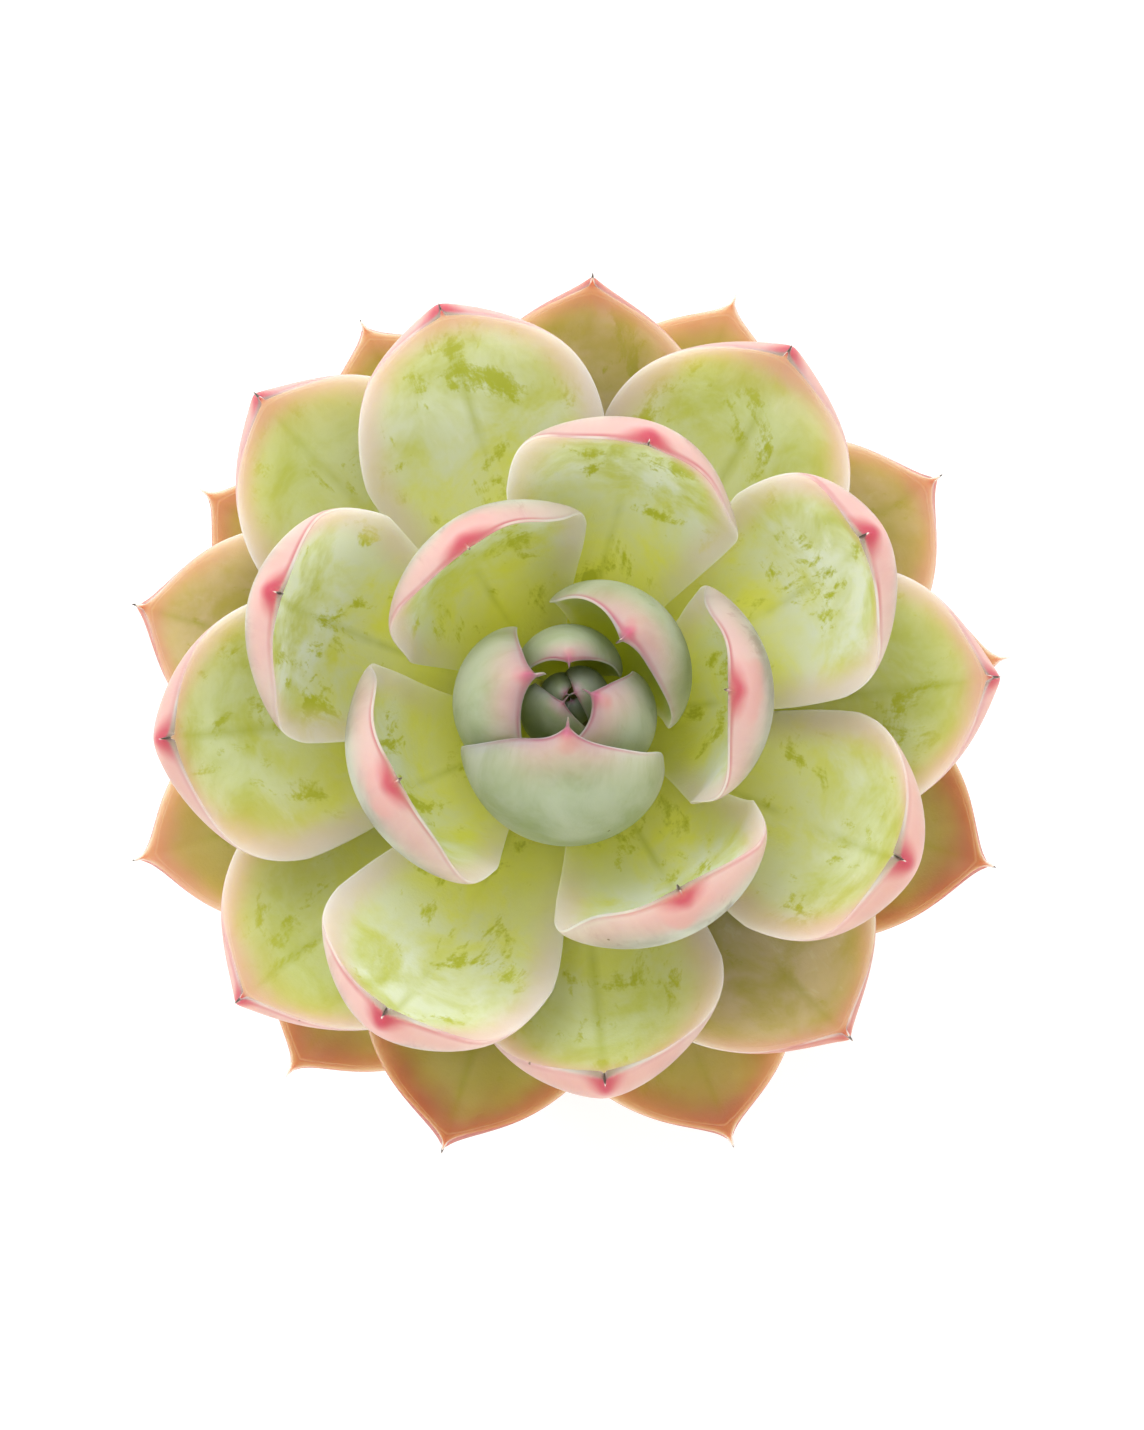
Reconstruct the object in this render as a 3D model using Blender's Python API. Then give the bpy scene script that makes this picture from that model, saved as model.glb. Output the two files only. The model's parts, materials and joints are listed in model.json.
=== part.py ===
"""A potted succulent: an echeveria rosette on its short stem, in a plain clay pot.

Metres, +Z up. The origin is the middle of the pot's underside, and the front is -Y. The rosette is
one growth law read at whole ages: leaf_01 is the youngest, in the heart, and the last leaf is the
oldest, lowest one. Every leaf is a closed, fleshy blade with its own place, size and curl.
"""

import math

import bmesh
import bpy
import numpy as np

# ---- leaves ----
LEAF_COUNT = 38
LEAF_LENGTH = 0.054  # a full-grown leaf along its middle line, without its spike
LEAF_HALF_WIDTH = 0.0166  # half of its width, measured round the stem's axis
LEAF_THICKNESS = 0.0050  # at its thickest
LEAF_SPIKE = 0.0012  # the dry point past the blade's end
FOOT_THICKNESS_SHARE = 0.52  # the foot is this share of the blade's thickness
FOOT_SPREAD = 0.71  # the foot's half width in radians round the stem
UPPER_CROWN = 0.12  # the upper face's crown as a share of the thickness below
MARGIN_POWER = 1.4  # over 1 thins the blade toward its margins
NEAREST_AXIS = 0.0005  # widths are wrapped as if at least this far from the axis

# ---- where the leaves stand ----
TURN = math.radians(137.8)  # from each leaf to the next older one
FIRST_LEAF_AT = math.radians(-69.0)
RISE_SHARE = 0.0498  # how much a leaf's foot rises over the next older one's, as explained below
HEART_AGE = 8  # leaves younger than this stand on the stem's rounded tip
HEART_RISE_SHARE = 0.040  # the same in the heart

# ---- stem ----
STEM_RADIUS = 0.0048
STEM_TIP_DROP = 0.0008  # the tip stays this far below the heart leaves' feet
SEAT_GAP = 0.0005  # between the stem and a leaf's foot, which is flat-sided

# ---- pot and soil ----
POT_HEIGHT = 0.078
POT_RIM_RADIUS = 0.0455
POT_BASE_RADIUS = 0.031
POT_SHOULDER_RADIUS = 0.0415  # the body's outside just under the collar
POT_COLLAR_HEIGHT = 0.018
POT_WALL = 0.005
POT_FLOOR = 0.005
POT_EDGE = 0.0015  # the bevel on the rim, the collar and the foot
DRAIN_COUNT = 3
DRAIN_RADIUS = 0.0035
DRAIN_PITCH_RADIUS = 0.0145
SOIL_BELOW_RIM = 0.008
SOIL_MOUND = 0.0015  # the soil stands this much higher round the stem
STEM_ROOTED = 0.015  # the stem's length in the soil
ROSETTE_ABOVE_RIM = 0.005  # from the rim to the oldest leaf's foot

CLEARANCE = 0.0003  # between pieces that touch

# ---- how finely the solids are made ----
POT_SEGMENTS = 48
STEM_SEGMENTS = 24
DRAIN_SEGMENTS = 16
BLADE_SIDES = 10
BLADE_STATIONS = (0.0, 0.1, 0.22, 0.36, 0.5, 0.64, 0.77, 0.88, 0.955, 0.99)
MIDDLE_LINE_STEPS = 240

# The growth law. A row is one stage in a leaf's life: its age, counted in leaves; its length, half
# width and thickness as shares of the full-grown leaf; the pitch of its middle line at the foot
# and at the end, in degrees from level; how late it bends; how far its sides lift, as a share of
# its thickness; how its end closes, as the two powers of a curve that goes from round to straight
# sided; its widest place along it; its seat's radius as a share of the stem's; the radians that it
# may reach round the axis on one side; and how much nearer the axis its sides stand than its keel,
# as a share. The heart closes into a bud of pointed leaves, the next ring stands up as cups, and
# the oldest leaves lie nearly flat.
STAGE_NAMES = (
    "length", "width", "thick", "foot", "curl", "late", "lift", "point", "close", "widest", "seat",
    "wrap", "keel",
)
STAGES = (
    (0, 0.22, 0.26, 0.26, 76, 116, 1.3, 0.00, 1.5, 1.00, 0.55, 0.20, 1.5, 0.00),
    (2, 0.31, 0.40, 0.30, 67, 130, 1.3, 0.00, 1.4, 1.00, 0.55, 0.33, 1.5, 0.00),
    (4, 0.42, 0.66, 0.42, 53, 148, 1.3, 0.00, 1.3, 1.00, 0.56, 0.56, 1.6, 0.05),
    (6, 0.56, 0.89, 0.50, 36, 160, 1.2, 0.00, 1.3, 1.00, 0.58, 0.83, 1.7, 0.10),
    (8, 0.69, 1.05, 0.58, 28, 168, 1.2, 0.00, 1.3, 1.00, 0.63, 0.98, 1.9, 0.04),
    (9, 0.69, 0.98, 0.72, 26, 122, 1.4, 0.08, 2.2, 0.60, 0.62, 1.00, 1.35, 0.00),
    (13, 0.80, 0.99, 0.84, 20, 108, 1.7, 0.19, 2.2, 0.60, 0.66, 1.00, 1.35, 0.00),
    (15, 0.93, 0.99, 0.92, 16, 92, 2.2, 0.26, 2.2, 0.60, 0.66, 1.00, 1.35, 0.00),
    (18, 0.98, 1.00, 0.96, 13, 76, 2.4, 0.33, 2.2, 0.62, 0.66, 1.00, 1.35, 0.00),
    (22, 1.00, 1.00, 1.00, 10, 56, 2.6, 0.32, 2.2, 0.74, 0.66, 1.00, 1.35, 0.00),
    (28, 0.98, 1.00, 0.96, 6, 32, 2.6, 0.25, 2.2, 1.00, 0.64, 1.00, 1.35, 0.00),
    (37, 0.96, 0.97, 0.88, 0, 14, 2.2, 0.18, 2.2, 1.10, 0.62, 1.00, 1.35, 0.00),
)

# No leaf keeps to the law exactly. By age, what is each leaf's own, in degrees: a turn, more or less
# pitch at foot and end, a sideways sweep of its end, and a lean of only its point. Its length and
# width are shares.
OWN = {
    1: {"turn": -5},
    2: {"turn": 10},
    3: {"turn": -10, "length": 0.92},
    4: {"turn": -8, "length": 0.95, "curl": -15},
    5: {"turn": -4, "width": 0.97, "lean": 36},
    6: {"turn": 3, "width": 0.97, "curl": -6, "lean": -30},
    7: {"turn": -4, "length": 0.87, "width": 0.98, "foot": 4, "curl": -30, "lean": 2},
    8: {"turn": -2},
    9: {"turn": -5, "length": 0.98, "width": 1.04, "curl": -10},
    10: {"turn": 7, "length": 0.90, "curl": 2},
    11: {"turn": -7, "length": 0.98, "width": 1.08},
    12: {"length": 1.05, "curl": -14, "sweep": -5},
    13: {"turn": -1, "length": 0.98, "curl": 4},
    14: {"length": 1.06},
    15: {"turn": 1, "length": 0.98, "width": 0.95, "sweep": 3},
    16: {"turn": -2, "length": 1.03, "width": 0.97, "sweep": -4},
    17: {"width": 1.03, "curl": -24},
    18: {"turn": 3, "length": 0.96, "curl": 8},
    19: {"turn": -10, "width": 1.1, "sweep": 3},
    20: {"turn": 1, "length": 0.97, "width": 1.1, "curl": -10, "sweep": 2},
    21: {"turn": -2, "length": 0.94, "width": 1.06, "curl": 16},
    22: {"turn": -4, "curl": -6},
    23: {"turn": 2, "length": 0.97, "width": 1.05},
    24: {"turn": -2, "width": 1.06},
    25: {"turn": 1, "length": 0.99, "width": 1.05},
    26: {"length": 0.96, "width": 1.1, "sweep": 2},
    27: {"turn": -4},
    28: {"turn": 1, "length": 0.98, "width": 1.12, "sweep": -1},
    29: {"turn": -1, "length": 1.02, "width": 1.06},
    30: {"turn": 1},
    31: {"turn": 1, "width": 1.1},
    32: {"turn": -3, "length": 1.03},
    33: {"turn": 5, "length": 1.03, "width": 1.08},
    34: {"turn": 5, "length": 1.02, "width": 1.12},
    35: {"length": 0.98},
    36: {"turn": -2},
    37: {"turn": -1, "length": 1.02, "width": 1.1},
}

# ---- heights worked out from the sizes above ----
SOIL_TOP = POT_HEIGHT - SOIL_BELOW_RIM
STEM_BOTTOM = SOIL_TOP - STEM_ROOTED
ROSETTE_BASE = POT_HEIGHT + ROSETTE_ABOVE_RIM
SEAT_RADIUS = STEM_RADIUS + SEAT_GAP
# Wide, thick leaves on a thin stem crowd each other, so their feet stand further apart.
LEAF_RISE = RISE_SHARE * LEAF_HALF_WIDTH * LEAF_THICKNESS / SEAT_RADIUS
HEART_RISE = HEART_RISE_SHARE * LEAF_HALF_WIDTH * LEAF_THICKNESS / SEAT_RADIUS


def clear_scene():
    """Take every object out of the file, so that only the plant is left."""
    for thing in list(bpy.data.objects):
        bpy.data.objects.remove(thing, do_unlink=True)


def finish(name, colour, roughness):
    """A plain Principled material."""
    material = bpy.data.materials.new(name)
    material.use_nodes = True
    shader = material.node_tree.nodes["Principled BSDF"]
    shader.inputs["Base Color"].default_value = (*colour, 1.0)
    shader.inputs["Roughness"].default_value = roughness
    shader.inputs["Metallic"].default_value = 0.0
    return material


def add_piece(name, mesh, material):
    """Put a finished mesh into the scene as one named piece."""
    mesh.materials.append(material)
    piece = bpy.data.objects.new(name, mesh)
    bpy.context.scene.collection.objects.link(piece)
    return piece


# ---------------------------------------------------------------- leaves
def foot_height(age):
    """How high the foot of the leaf of this age is: one rise for each leaf that is older."""
    below = (LEAF_COUNT - 1 - max(age, HEART_AGE)) * LEAF_RISE
    return ROSETTE_BASE + below + max(HEART_AGE - age, 0) * HEART_RISE


def leaf_form(age):
    """The sizes of one leaf: the growth law at its age, with what is its own."""
    ages = [row[0] for row in STAGES]
    form = {
        name: float(np.interp(age, ages, [row[column + 1] for row in STAGES]))
        for column, name in enumerate(STAGE_NAMES)
    }
    own = OWN.get(age, {})
    form["length"] *= LEAF_LENGTH * own.get("length", 1.0)
    form["width"] *= LEAF_HALF_WIDTH * own.get("width", 1.0)
    form["thick"] *= LEAF_THICKNESS
    form["lift"] *= form["thick"]
    form["seat"] *= SEAT_RADIUS
    form["foot"] = math.radians(form["foot"] + own.get("foot", 0))
    form["curl"] = math.radians(form["curl"] + own.get("curl", 0))
    form["turn"] = FIRST_LEAF_AT - TURN * age + math.radians(own.get("turn", 0))
    form["sweep"] = math.radians(own.get("sweep", 0))
    form["lean"] = math.radians(own.get("lean", 0))
    form["height"] = foot_height(age)
    return form


def ease(share):
    """A smooth step from 0 to 1."""
    share = np.clip(share, 0.0, 1.0)
    return share * share * (3.0 - 2.0 * share)


def middle_line(form, along):
    """Pitch, distance from the axis and height at shares along the leaf.

    The pitch goes from the foot's to the end's with a power of the share. The curve is the sum of
    short straight steps at that pitch. Past the blade's end it runs on straight, for the spike.
    """
    share = np.linspace(0.0, 1.0, MIDDLE_LINE_STEPS + 1)
    pitch = form["foot"] + (form["curl"] - form["foot"]) * share ** form["late"]
    middle = (pitch[1:] + pitch[:-1]) / 2
    step = form["length"] / MIDDLE_LINE_STEPS
    reach = form["seat"] + np.concatenate([[0.0], np.cumsum(np.cos(middle) * step)])
    height = form["height"] + np.concatenate([[0.0], np.cumsum(np.sin(middle) * step)])
    beyond = np.maximum(along - 1.0, 0.0) * form["length"]
    at_pitch = np.interp(along, share, pitch)
    at_reach = np.interp(along, share, reach) + beyond * math.cos(form["curl"])
    at_height = np.interp(along, share, height) + beyond * math.sin(form["curl"])
    return at_pitch, at_reach, at_height


def half_width(form, along):
    """Half of the blade's width: it grows from the foot to the widest place and closes."""
    grown = along / form["widest"]
    rise = 0.5 * np.clip(grown, 0.0, 1.0) + 0.5 * ease(grown)
    closing = np.clip((along - form["widest"]) / (1.0 - form["widest"]), 0.0, 1.0)
    foot = FOOT_SPREAD * form["seat"]
    return (foot + (form["width"] - foot) * rise) * (1.0 - closing ** form["point"]) ** form["close"]


def thickness(form, along):
    """The blade's thickness: thin at the foot, full from the middle on, and closed at the end."""
    full = FOOT_THICKNESS_SHARE + (1.0 - FOOT_THICKNESS_SHARE) * ease(along / 0.5)
    return form["thick"] * full * np.sqrt(np.clip(1.0 - along**7, 0.0, 1.0))


def blade_points(form, along, around):
    """Points of the blade's skin: shares along it, and angles round its section.

    The section is a lens with a low crown above and the flesh below. It is set off square to the
    middle line, and its width is wrapped round the plant's axis, so that leaves nest as cups do.
    """
    pitch, reach, height = middle_line(form, along)
    across = np.cos(around)
    swell = np.abs(np.sin(around)) ** MARGIN_POWER * thickness(form, along)
    lift = form["lift"] * ease((along - 0.35) / 0.45) * across**2
    offset = lift + np.where(np.sin(around) > 0.0, UPPER_CROWN * swell, -swell)
    wrap = half_width(form, along) / np.maximum(reach, NEAREST_AXIS)
    wrap = form["wrap"] * np.tanh(wrap / form["wrap"]) * across
    bearing = form["turn"] + form["sweep"] * along**2 + form["lean"] * along**8 + wrap
    distance = reach * (1.0 - form["keel"] * across**2) - offset * np.sin(pitch)
    return np.stack(
        [distance * np.cos(bearing), distance * np.sin(bearing), height + offset * np.cos(pitch)], -1
    )


def leaf_mesh(age):
    """One leaf as a closed mesh: rings along the blade, a spike's point and a foot face."""
    form = leaf_form(age)
    angles = np.linspace(0.0, 2.0 * math.pi, BLADE_SIDES, endpoint=False)
    along, around = np.meshgrid(np.array(BLADE_STATIONS), angles, indexing="ij")
    rings = blade_points(form, along, around)
    point = blade_points(form, np.array([1.0 + LEAF_SPIKE / form["length"]]), np.zeros(1))[0]

    mesh = bpy.data.meshes.new(f"leaf_{age + 1:02d}")
    shape = bmesh.new()
    grid = [[shape.verts.new(corner) for corner in ring] for ring in rings]
    tip = shape.verts.new(point)
    for ring, next_ring in zip(grid, grid[1:], strict=False):
        for side in range(BLADE_SIDES):
            after = (side + 1) % BLADE_SIDES
            shape.faces.new((ring[side], ring[after], next_ring[after], next_ring[side]))
    for side in range(BLADE_SIDES):
        shape.faces.new((grid[-1][side], grid[-1][(side + 1) % BLADE_SIDES], tip))
    # the foot's face is a strip from margin to margin, so that it follows the round stem
    upper = grid[0][: BLADE_SIDES // 2 + 1]
    lower = [grid[0][0], *reversed(grid[0][BLADE_SIDES // 2 :])]
    for side in range(BLADE_SIDES // 2):
        corners = [upper[side + 1], upper[side], lower[side], lower[side + 1]]
        shape.faces.new(list(dict.fromkeys(corners)))
    bmesh.ops.triangulate(shape, faces=shape.faces[:])
    bmesh.ops.recalc_face_normals(shape, faces=shape.faces[:])
    for face in shape.faces:
        face.smooth = True
    shape.to_mesh(mesh)
    shape.free()
    return mesh


def add_leaves(young, grown, old):
    """All leaves, youngest first: the bud, the standing rings and the flat outer ring."""
    for age in range(LEAF_COUNT):
        material = young if age <= HEART_AGE else grown if age < 25 else old
        add_piece(f"leaf_{age + 1:02d}", leaf_mesh(age), material)


# ---------------------------------------------------------------- turned pieces
def turned(name, outline, segments):
    """A closed solid of revolution about Z from an outline of (radius, height) points."""
    mesh = bpy.data.meshes.new(name)
    shape = bmesh.new()
    corners = [shape.verts.new((radius, 0.0, height)) for radius, height in outline]
    edges = [shape.edges.new(pair) for pair in zip(corners, corners[1:], strict=False)]
    if outline[0][0] > 0:
        edges.append(shape.edges.new((corners[-1], corners[0])))
    bmesh.ops.spin(
        shape,
        geom=corners + edges,
        cent=(0, 0, 0),
        axis=(0, 0, 1),
        angle=2 * math.pi,
        steps=segments,
        use_merge=True,
    )
    bmesh.ops.remove_doubles(shape, verts=shape.verts[:], dist=1e-6)
    bmesh.ops.recalc_face_normals(shape, faces=shape.faces[:])
    for face in shape.faces:
        face.smooth = True
    shape.to_mesh(mesh)
    shape.free()
    mesh.set_sharp_from_angle(angle=math.radians(35))
    return mesh


def pot_outside(height):
    """The body's outer radius at a height: a straight taper, carried on inside the collar."""
    share = height / (POT_HEIGHT - POT_COLLAR_HEIGHT)
    return POT_BASE_RADIUS + (POT_SHOULDER_RADIUS - POT_BASE_RADIUS) * share


def pot_inside(height):
    """The inner wall's radius at a height: one wall in from the body."""
    return pot_outside(height) - POT_WALL


def pot_outline():
    """The pot's section, from the middle of the underside round to the middle of the floor."""
    collar = POT_HEIGHT - POT_COLLAR_HEIGHT
    return [
        (0.0, 0.0),
        (POT_BASE_RADIUS - POT_EDGE, 0.0),
        (pot_outside(POT_EDGE), POT_EDGE),
        (pot_outside(collar), collar),
        (POT_RIM_RADIUS - POT_EDGE, collar),
        (POT_RIM_RADIUS, collar + POT_EDGE),
        (POT_RIM_RADIUS, POT_HEIGHT - POT_EDGE),
        (POT_RIM_RADIUS - POT_EDGE, POT_HEIGHT),
        (pot_inside(POT_HEIGHT) + POT_EDGE, POT_HEIGHT),
        (pot_inside(POT_HEIGHT - POT_EDGE), POT_HEIGHT - POT_EDGE),
        (pot_inside(POT_FLOOR), POT_FLOOR),
        (0.0, POT_FLOOR),
    ]


def drain_cutter():
    """Pins that cut the drain holes, set round the middle of the floor."""
    mesh = bpy.data.meshes.new("drain_cutter")
    shape = bmesh.new()
    for number in range(DRAIN_COUNT):
        bearing = math.radians(90) + number * 2 * math.pi / DRAIN_COUNT
        made = bmesh.ops.create_cone(
            shape,
            cap_ends=True,
            segments=DRAIN_SEGMENTS,
            radius1=DRAIN_RADIUS,
            radius2=DRAIN_RADIUS,
            depth=3 * POT_FLOOR,
        )
        place = (DRAIN_PITCH_RADIUS * math.cos(bearing), DRAIN_PITCH_RADIUS * math.sin(bearing), 0)
        bmesh.ops.translate(shape, verts=made["verts"], vec=place)
    shape.to_mesh(mesh)
    shape.free()
    cutter = bpy.data.objects.new("drain_cutter", mesh)
    bpy.context.scene.collection.objects.link(cutter)
    cutter.hide_render = True
    cutter.display_type = "WIRE"
    return cutter


def add_pot(clay):
    """The pot: tapered body, collar and floor, with drain holes cut through the floor."""
    pot = add_piece("pot", turned("pot", pot_outline(), POT_SEGMENTS), clay)
    cut = pot.modifiers.new("drain holes", "BOOLEAN")
    cut.operation = "DIFFERENCE"
    cut.object = drain_cutter()


def add_soil(soil):
    """The soil: it fills the pot to below the rim, and has a socket for the stem."""
    socket = STEM_RADIUS + CLEARANCE
    bottom = POT_FLOOR + CLEARANCE
    shallow = SOIL_TOP - SOIL_BELOW_RIM / 4
    outline = [
        (0.0, bottom),
        (pot_inside(bottom) - CLEARANCE, bottom),
        (pot_inside(shallow) - CLEARANCE, shallow),
        ((pot_inside(SOIL_TOP) + socket) * 0.8, SOIL_TOP),
        ((pot_inside(SOIL_TOP) + socket) * 0.4, SOIL_TOP + SOIL_MOUND * 0.6),
        (socket + SOIL_MOUND, SOIL_TOP + SOIL_MOUND),
        (socket, SOIL_TOP + SOIL_MOUND * 0.8),
        (socket, STEM_BOTTOM - CLEARANCE),
        (0.0, STEM_BOTTOM - CLEARANCE),
    ]
    add_piece("potting_soil", turned("potting_soil", outline, POT_SEGMENTS), soil)


def add_stem(bark):
    """The stem: a straight trunk from the soil, then a tip that narrows with the heart's seats."""
    outline = [(0.0, STEM_BOTTOM), (STEM_RADIUS, STEM_BOTTOM)]
    for age in range(HEART_AGE, -1, -1):
        radius = leaf_form(age)["seat"] - SEAT_GAP * leaf_form(age)["seat"] / SEAT_RADIUS
        outline.append((radius, foot_height(age) - STEM_TIP_DROP))
    outline.append((0.0, foot_height(0)))
    add_piece("stem", turned("stem", outline, STEM_SEGMENTS), bark)


def build():
    """The whole plant in its pot."""
    clear_scene()
    add_pot(finish("clay", (0.52, 0.24, 0.15), 0.85))
    add_soil(finish("soil", (0.06, 0.045, 0.035), 0.95))
    add_stem(finish("stem", (0.36, 0.33, 0.20), 0.7))
    add_leaves(
        finish("leaf_heart", (0.50, 0.60, 0.42), 0.5),
        finish("leaf_ring", (0.62, 0.68, 0.40), 0.5),
        finish("leaf_outer", (0.66, 0.52, 0.32), 0.5),
    )


build()
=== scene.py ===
# %% [markdown]
# # A potted echeveria, leaf by leaf
#
# An echeveria is a rosette: every leaf sits a fixed turn on from the last one, and its shape depends
# on nothing but its age. The CAD frame holds one plain solid for each leaf. Here each solid gets a
# smooth, fleshy blade worked out from the same growth law, with margins, a dry point and the waxy
# bloom that makes the plant look powdered. The frame comes first, because every piece is placed by it.

import json
import math

import bpy
import numpy as np
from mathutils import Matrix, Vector

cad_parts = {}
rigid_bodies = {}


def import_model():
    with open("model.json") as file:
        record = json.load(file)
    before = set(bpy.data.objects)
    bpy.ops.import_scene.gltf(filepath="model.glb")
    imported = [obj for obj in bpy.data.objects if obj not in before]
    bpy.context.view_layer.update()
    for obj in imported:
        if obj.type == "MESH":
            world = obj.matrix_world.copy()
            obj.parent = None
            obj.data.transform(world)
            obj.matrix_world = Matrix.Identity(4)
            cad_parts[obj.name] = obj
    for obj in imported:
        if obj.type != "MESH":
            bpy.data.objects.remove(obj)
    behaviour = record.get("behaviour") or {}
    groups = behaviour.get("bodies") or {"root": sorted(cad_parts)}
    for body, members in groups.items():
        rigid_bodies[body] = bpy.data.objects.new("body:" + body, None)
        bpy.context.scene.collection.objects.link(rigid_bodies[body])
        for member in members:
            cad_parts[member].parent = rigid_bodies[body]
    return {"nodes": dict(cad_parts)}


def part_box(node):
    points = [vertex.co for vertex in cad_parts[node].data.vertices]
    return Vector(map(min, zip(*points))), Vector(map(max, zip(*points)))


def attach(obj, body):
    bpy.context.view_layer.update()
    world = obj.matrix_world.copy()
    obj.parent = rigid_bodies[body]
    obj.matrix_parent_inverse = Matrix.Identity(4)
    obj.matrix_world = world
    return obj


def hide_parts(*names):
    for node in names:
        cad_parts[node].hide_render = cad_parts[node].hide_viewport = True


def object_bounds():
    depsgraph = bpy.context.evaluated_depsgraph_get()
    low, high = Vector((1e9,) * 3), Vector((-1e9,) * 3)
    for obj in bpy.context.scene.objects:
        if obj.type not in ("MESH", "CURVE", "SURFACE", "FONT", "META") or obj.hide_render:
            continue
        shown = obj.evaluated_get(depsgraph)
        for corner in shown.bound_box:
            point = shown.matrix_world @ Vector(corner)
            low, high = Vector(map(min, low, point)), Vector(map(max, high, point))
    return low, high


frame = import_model()
cad_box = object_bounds()
nodes = frame["nodes"]
LEAF_NODES = sorted(name for name in nodes if name.startswith("leaf_"))
print("frame loaded:", len(nodes), "solids,", len(LEAF_NODES), "of them leaves")

# %% [markdown]
# The heights come from the frame itself: the pot's rim gives the level of the soil and of the lowest
# leaf's foot. The leaf sizes are a full-grown leaf's, and every younger leaf takes shares of them.

# %% Sizes
RIM_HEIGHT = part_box("pot")[1].z
RIM_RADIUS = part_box("pot")[1].x
ROSETTE_ABOVE_RIM = 0.005
SOIL_BELOW_RIM = 0.008
ROSETTE_BASE = RIM_HEIGHT + ROSETTE_ABOVE_RIM
SOIL_HEIGHT = RIM_HEIGHT - SOIL_BELOW_RIM
STEM_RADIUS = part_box("stem")[1].x
SEAT_GAP = 0.0005
SEAT_RADIUS = STEM_RADIUS + SEAT_GAP

LEAF_COUNT = len(LEAF_NODES)
LEAF_LENGTH = 0.054
LEAF_HALF_WIDTH = 0.0166
LEAF_THICKNESS = 0.0050
LEAF_SPIKE = 0.0012
FOOT_THICKNESS_SHARE = 0.52
FOOT_SPREAD = 0.71
UPPER_CROWN = 0.12
MARGIN_POWER = 1.4
TURN = math.radians(137.8)
FIRST_LEAF_AT = math.radians(-69.0)
HEART_AGE = 8
RISE_SHARE = 0.0498
HEART_RISE_SHARE = 0.040
LEAF_RISE = RISE_SHARE * LEAF_HALF_WIDTH * LEAF_THICKNESS / SEAT_RADIUS
HEART_RISE = HEART_RISE_SHARE * LEAF_HALF_WIDTH * LEAF_THICKNESS / SEAT_RADIUS
MIDDLE_LINE_STEPS = 240
NEAREST_AXIS = 0.0005
print(f"rosette base at {ROSETTE_BASE * 1000:.1f} mm, rim radius {RIM_RADIUS * 1000:.1f} mm")

# %% [markdown]
# ## The growth law
#
# A leaf's life has stages. It starts as a pointed scale folded over the growing point, opens into a
# standing cup, and in the end leans out flat. Each row is one stage: the leaf's age, and then the
# values that the names above the table give. Lengths, widths and thicknesses are shares of a
# full-grown leaf's, and a leaf between two stages takes values between them. A second table holds
# what is each leaf's own, because no real leaf keeps exactly to the law.

# %% Stages of a leaf's life
STAGE_NAMES = (
    "length", "width", "thick", "foot", "curl", "late", "lift", "point", "close", "widest", "seat",
    "wrap", "keel",
)
STAGES = (
    (0, 0.22, 0.26, 0.26, 76, 116, 1.3, 0.00, 1.5, 1.00, 0.55, 0.20, 1.5, 0.00),
    (2, 0.31, 0.40, 0.30, 67, 130, 1.3, 0.00, 1.4, 1.00, 0.55, 0.33, 1.5, 0.00),
    (4, 0.42, 0.66, 0.42, 53, 148, 1.3, 0.00, 1.3, 1.00, 0.56, 0.56, 1.6, 0.05),
    (6, 0.56, 0.89, 0.50, 36, 160, 1.2, 0.00, 1.3, 1.00, 0.58, 0.83, 1.7, 0.10),
    (8, 0.69, 1.05, 0.58, 28, 168, 1.2, 0.00, 1.3, 1.00, 0.63, 0.98, 1.9, 0.04),
    (9, 0.69, 0.98, 0.72, 26, 122, 1.4, 0.08, 2.2, 0.60, 0.62, 1.00, 1.35, 0.00),
    (13, 0.80, 0.99, 0.84, 20, 108, 1.7, 0.19, 2.2, 0.60, 0.66, 1.00, 1.35, 0.00),
    (15, 0.93, 0.99, 0.92, 16, 92, 2.2, 0.26, 2.2, 0.60, 0.66, 1.00, 1.35, 0.00),
    (18, 0.98, 1.00, 0.96, 13, 76, 2.4, 0.33, 2.2, 0.62, 0.66, 1.00, 1.35, 0.00),
    (22, 1.00, 1.00, 1.00, 10, 56, 2.6, 0.32, 2.2, 0.74, 0.66, 1.00, 1.35, 0.00),
    (28, 0.98, 1.00, 0.96, 6, 32, 2.6, 0.25, 2.2, 1.00, 0.64, 1.00, 1.35, 0.00),
    (37, 0.96, 0.97, 0.88, 0, 14, 2.2, 0.18, 2.2, 1.10, 0.62, 1.00, 1.35, 0.00),
)
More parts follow.
